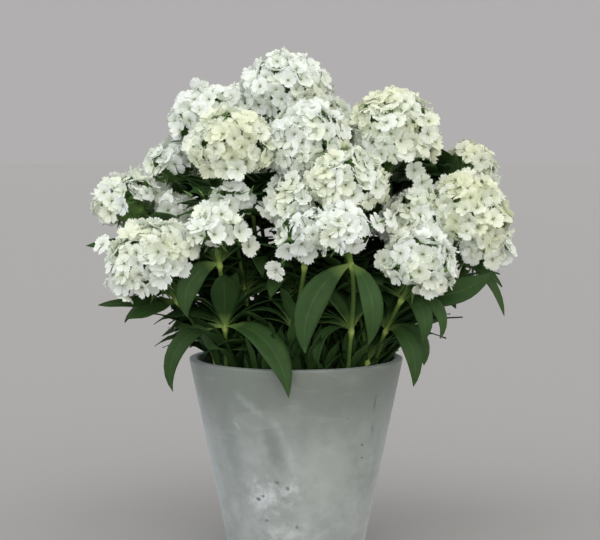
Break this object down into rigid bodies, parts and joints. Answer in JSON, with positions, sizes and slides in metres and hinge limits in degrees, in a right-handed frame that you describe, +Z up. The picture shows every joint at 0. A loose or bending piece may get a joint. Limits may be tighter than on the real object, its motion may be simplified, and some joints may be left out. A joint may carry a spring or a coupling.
{
  "type": "potted flowering plant",
  "caption": "Potted sweet william in full bloom: domed heads of white florets on leafy stems that rise from compost in a plain tapered stone-grey pot.",
  "frame": {"origin": "centre of the pot's base, on the surface it stands on", "axes": "+Z up along the pot's axis; the side that the picture shows faces -Y; +X to its right"},
  "size_m": [0.3836, 0.3199, 0.4473],
  "materials": {
    "cast_stone": "light grey cast stone, matt and mottled, with pale rough blotches and faint trowel sweeps",
    "compost": "dark brown moist potting compost with crumbs and bark bits",
    "petals": "creamy white toothed petals with a faint green cast and tiny grey-green centres",
    "foliage": "dark green lance-shaped leaves with a paler midrib, and yellow-green stems with swollen joints"
  },
  "bodies": {
    "root": {"pot": "cast_stone", "compost": "compost", "flower_head_01": "petals", "flower_head_02": "petals", "flower_head_03": "petals", "flower_head_04": "petals", "flower_head_05": "petals", "flower_head_06": "petals", "flower_head_07": "petals", "flower_head_08": "petals", "flower_head_09": "petals", "flower_head_10": "petals", "flower_head_11": "petals", "flower_head_12": "petals", "flower_head_13": "petals", "flower_head_14": "petals", "flower_head_15": "petals", "flower_head_16": "petals", "flower_head_17": "petals", "flower_head_18": "petals", "flower_head_19": "petals", "flower_head_20": "petals", "flower_head_21": "petals", "flower_head_22": "petals", "flower_head_23": "petals", "flower_head_24": "petals", "flower_head_25": "petals", "flower_head_26": "petals", "flower_head_27": "petals", "flower_head_28": "petals", "leafy_stem_01": "foliage", "leafy_stem_02": "foliage", "leafy_stem_03": "foliage", "leafy_stem_04": "foliage", "leafy_stem_05": "foliage", "leafy_stem_06": "foliage", "leafy_stem_07": "foliage", "leafy_stem_08": "foliage", "leafy_stem_09": "foliage", "leafy_stem_10": "foliage", "leafy_stem_11": "foliage", "leafy_stem_12": "foliage", "leafy_stem_13": "foliage", "leafy_stem_14": "foliage", "leafy_stem_15": "foliage", "leafy_stem_16": "foliage", "leafy_stem_17": "foliage", "leafy_stem_18": "foliage", "leafy_stem_19": "foliage", "leafy_stem_20": "foliage", "leafy_stem_21": "foliage", "leafy_stem_22": "foliage", "leafy_stem_23": "foliage", "leafy_stem_24": "foliage", "leafy_stem_25": "foliage", "leafy_stem_26": "foliage", "leafy_stem_27": "foliage", "leafy_stem_28": "foliage", "leafy_shoot_01": "foliage"}
  },
  "joints": []
}
